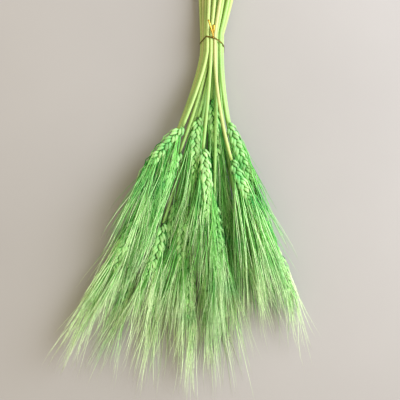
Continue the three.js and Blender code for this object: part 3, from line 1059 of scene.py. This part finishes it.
class StrawSettings(bpy.types.PropertyGroup):
    sides: IntProperty(name="Sides", description="Sides round each straw", default=12, min=6)
    wall: FloatProperty(
        name="Wall", description="Wall of the hollow straw", default=0.45 * MM, unit="LENGTH"
    )
    bore_depth: FloatProperty(
        name="Bore Depth", description="How far the straw is open", default=8 * MM, unit="LENGTH"
    )
    joint_length: FloatProperty(
        name="Joint Length", description="Length of a swollen joint", default=3 * MM, unit="LENGTH"
    )
    cut_colour: FloatVectorProperty(
        name="Cut End",
        description="Straw at its cut end",
        subtype="COLOR",
        default=(0.6, 0.62, 0.26),
    )
    middle_colour: FloatVectorProperty(
        name="Middle", description="Straw past the tie", subtype="COLOR", default=(0.54, 0.71, 0.23)
    )
    neck_colour: FloatVectorProperty(
        name="Neck", description="Straw at the ear", subtype="COLOR", default=(0.39, 0.67, 0.2)
    )
    dye_colour: FloatVectorProperty(
        name="Dye",
        description="Where dye has run together",
        subtype="COLOR",
        default=(0.16, 0.5, 0.14),
    )
    fleck_colour: FloatVectorProperty(
        name="Flecks",
        description="Shade of the flecks",
        subtype="COLOR",
        default=(0.72, 0.72, 0.62),
    )
    joint_colour: FloatVectorProperty(
        name="Joints", description="Skin of the joints", subtype="COLOR", default=(0.18, 0.2, 0.06)
    )


class EarSettings(bpy.types.PropertyGroup):
    husk_length: FloatProperty(
        name="Husk Length", description="Length of a full husk", default=11.6 * MM, unit="LENGTH"
    )
    husk_width: FloatProperty(
        name="Husk Width", description="Width of a full husk", default=5 * MM, unit="LENGTH"
    )
    husk_depth: FloatProperty(
        name="Husk Depth",
        description="Depth of a full husk's keel",
        default=1.5 * MM,
        unit="LENGTH",
    )
    hidden_awns: IntProperty(
        name="Hidden Awns",
        description="Awns of the husks hidden in each spikelet",
        default=11,
        min=0,
    )
    awn_longest: FloatProperty(
        name="Longest Awn", description="Length of the longest awns", default=98 * MM, unit="LENGTH"
    )
    awn_shortest: FloatProperty(
        name="Shortest Awn",
        description="Length of the shortest awns",
        default=66 * MM,
        unit="LENGTH",
    )
    awn_width: FloatProperty(
        name="Awn Width", description="Width of an awn at its root", default=1.0 * MM, unit="LENGTH"
    )
    # Deep green at the husks' roots: partly the dye, partly painted shade where each husk lies
    # under the one before
    root_dye_and_shade_colour: FloatVectorProperty(
        name="Folds", description="Roots of the husks", subtype="COLOR", default=(0.03, 0.26, 0.03)
    )
    husk_colour: FloatVectorProperty(
        name="Husks",
        description="Lower half of the husks",
        subtype="COLOR",
        default=(0.33, 0.68, 0.22),
    )
    tip_colour: FloatVectorProperty(
        name="Tips", description="Tips of the husks", subtype="COLOR", default=(0.5, 0.8, 0.34)
    )
    # Deep green of the dye patches. In the shade pools it is painted shade
    deep_dye_and_shade_colour: FloatVectorProperty(
        name="Deep Dye",
        description="Deeply dyed patches",
        subtype="COLOR",
        default=(0.04, 0.41, 0.08),
    )
    # Deepest green of the awns: partly their dye, partly painted shade on the covered awns
    deep_awn_dye_and_shade_colour: FloatVectorProperty(
        name="Deep Awns",
        description="Awns with most dye",
        subtype="COLOR",
        default=(0.02, 0.3, 0.03),
    )
    awn_colour: FloatVectorProperty(
        name="Awns", description="Awns in the middle", subtype="COLOR", default=(0.27, 0.76, 0.16)
    )
    awn_tip_colour: FloatVectorProperty(
        name="Pale Awns",
        description="Awns at their tips",
        subtype="COLOR",
        default=(0.77, 0.98, 0.56),
    )


class TieSettings(bpy.types.PropertyGroup):
    strip_width: FloatProperty(
        name="Width", description="Width of the foil strip", default=1.5 * MM, unit="LENGTH"
    )
    strip_thickness: FloatProperty(
        name="Thickness", description="Thickness over the wire", default=0.5 * MM, unit="LENGTH"
    )
    foil_colour: FloatVectorProperty(
        name="Foil", description="Gold foil", subtype="COLOR", default=(0.52, 0.34, 0.03)
    )
    crease_colour: FloatVectorProperty(
        name="Creases",
        description="Foil in its creases",
        subtype="COLOR",
        default=(0.4, 0.24, 0.03),
    )
    # Darker colour of the strip's ring round the bundle
    ring_colour: FloatVectorProperty(
        name="Worn",
        description="Foil worn dull where tight",
        subtype="COLOR",
        default=(0.12, 0.1, 0.02),
    )


class StageSettings(bpy.types.PropertyGroup):
    floor_colour: FloatVectorProperty(
        name="Floor", description="Pale floor", subtype="COLOR", default=(0.44, 0.419, 0.43)
    )
    lens: FloatProperty(name="Lens", description="Focal length", default=70, unit="CAMERA")
    key_power: FloatProperty(
        name="Key Light", description="Light from the right", default=43, unit="POWER"
    )
    fill: FloatProperty(name="Fill", description="Strength of the light all round", default=0.74)


class WHEAT_OT_make_straws(bpy.types.Operator):
    """Make the hollow dyed straws"""

    bl_idname = "wheat.make_straws"
    bl_label = "Make Straws"

    def execute(self, context):
        settings = context.scene.wheat_straws
        material = straw_material(settings)
        for stalk in STALKS:
            straw_piece(stalk, settings, material)
        return {"FINISHED"}


class WHEAT_OT_make_ears(bpy.types.Operator):
    """Make the ears with their husks and awns"""

    bl_idname = "wheat.make_ears"
    bl_label = "Make Ears"

    def execute(self, context):
        settings = context.scene.wheat_ears
        material = ear_material(settings)
        for stalk in STALKS:
            ear_piece(stalk, settings, material)
        return {"FINISHED"}


class WHEAT_OT_make_tie(bpy.types.Operator):
    """Make the gold foil twist tie"""

    bl_idname = "wheat.make_tie"
    bl_label = "Make Twist Tie"

    def execute(self, context):
        settings = context.scene.wheat_tie
        tie_piece(settings, foil_material(settings))
        return {"FINISHED"}


class WHEAT_OT_set_stage(bpy.types.Operator):
    """Set the pale floor, the soft lights and the camera that looks down on the bunch"""

    bl_idname = "wheat.set_stage"
    bl_label = "Set Stage"

    def execute(self, context):
        settings = context.scene.wheat_stage
        make_floor(settings)
        make_lights(settings)
        make_camera(settings)
        return {"FINISHED"}


class WHEAT_PT_bunch(bpy.types.Panel):
    """The pieces of the bunch and their sizes and colours"""

    bl_label = "Wheat Bunch"
    bl_space_type = "VIEW_3D"
    bl_region_type = "UI"
    bl_category = "Wheat"

    def draw(self, context):
        scene = context.scene
        parts = (
            (WHEAT_OT_make_straws, scene.wheat_straws),
            (WHEAT_OT_make_ears, scene.wheat_ears),
            (WHEAT_OT_make_tie, scene.wheat_tie),
            (WHEAT_OT_set_stage, scene.wheat_stage),
        )
        for operator, settings in parts:
            box = self.layout.box()
            box.operator(operator.bl_idname)
            for name in settings.__annotations__:
                box.prop(settings, name)


def make_floor(settings):
    bm = bmesh.new()
    bmesh.ops.create_grid(bm, x_segments=1, y_segments=1, size=FLOOR_REACH)
    mesh = bpy.data.meshes.new("floor")
    bm.to_mesh(mesh)
    bm.free()
    material = bpy.data.materials.new("painted floor")
    material.use_nodes = True
    tree = material.node_tree
    shader = tree.nodes["Principled BSDF"]
    place = add_node(tree, "ShaderNodeTexCoord")
    inputs = {"Vector": place.outputs["Object"], "Scale": FLOOR_SCALE, "Detail": 4}
    cloud = add_node(tree, "ShaderNodeTexNoise", inputs)
    colour = settings.floor_colour
    darker = tuple(channel * FLOOR_SHADE for channel in colour)
    shade = add_ramp(tree, cloud.outputs["Fac"], FLOOR_STOPS, (darker, colour))
    tree.links.new(shade, shader.inputs["Base Color"])
    shader.inputs["Roughness"].default_value = FLOOR_ROUGHNESS
    mesh.materials.append(material)
    floor = bpy.data.objects.new("floor", mesh)
    bpy.context.scene.collection.objects.link(floor)


def add_area_light(name, place, target, power, size, colour):
    light = bpy.data.lights.new(name, "AREA")
    light.energy = power
    light.shape = "RECTANGLE"
    light.size, light.size_y = size
    light.color = colour
    lamp = bpy.data.objects.new(name, light)
    lamp.location = place
    lamp.rotation_euler = (Vector(target) - Vector(place)).to_track_quat("-Z", "Y").to_euler()
    bpy.context.scene.collection.objects.link(lamp)


def make_lights(settings):
    middle = TIE_PLACE + Vector((VIEW_RIGHT, -VIEW_AWAY, 0))
    key = middle + KEY_PLACE
    add_area_light("key light", key, middle, settings.key_power, KEY_SIZE, KEY_COLOUR)
    world = bpy.context.scene.world or bpy.data.worlds.new("soft light")
    bpy.context.scene.world = world
    world.use_nodes = True
    background = world.node_tree.nodes["Background"]
    background.inputs["Color"].default_value = FILL_COLOUR
    background.inputs["Strength"].default_value = settings.fill


def make_camera(settings):
    camera = bpy.data.cameras.new("camera")
    camera.sensor_width = SENSOR
    camera.lens = settings.lens
    away = PICTURE_SIDE * settings.lens / SENSOR
    view = bpy.data.objects.new("camera", camera)
    view.location = TIE_PLACE + Vector((VIEW_RIGHT, -VIEW_AWAY, VIEW_HEIGHT + away))
    bpy.context.scene.collection.objects.link(view)
    bpy.context.scene.camera = view


CLASSES = (
    StrawSettings,
    EarSettings,
    TieSettings,
    StageSettings,
    WHEAT_OT_make_straws,
    WHEAT_OT_make_ears,
    WHEAT_OT_make_tie,
    WHEAT_OT_set_stage,
    WHEAT_PT_bunch,
)
SETTINGS = {
    "wheat_straws": StrawSettings,
    "wheat_ears": EarSettings,
    "wheat_tie": TieSettings,
    "wheat_stage": StageSettings,
}


def register():
    for each in CLASSES:
        bpy.utils.register_class(each)
    for name, settings in SETTINGS.items():
        setattr(bpy.types.Scene, name, PointerProperty(type=settings))


def unregister():
    for name in SETTINGS:
        delattr(bpy.types.Scene, name)
    for each in reversed(CLASSES):
        bpy.utils.unregister_class(each)


def main():
    register()
    bpy.ops.wheat.set_stage()
    bpy.ops.wheat.make_straws()
    bpy.ops.wheat.make_ears()
    bpy.ops.wheat.make_tie()
    bpy.context.scene.view_settings.view_transform = "Standard"


if __name__ == "__main__":
    main()
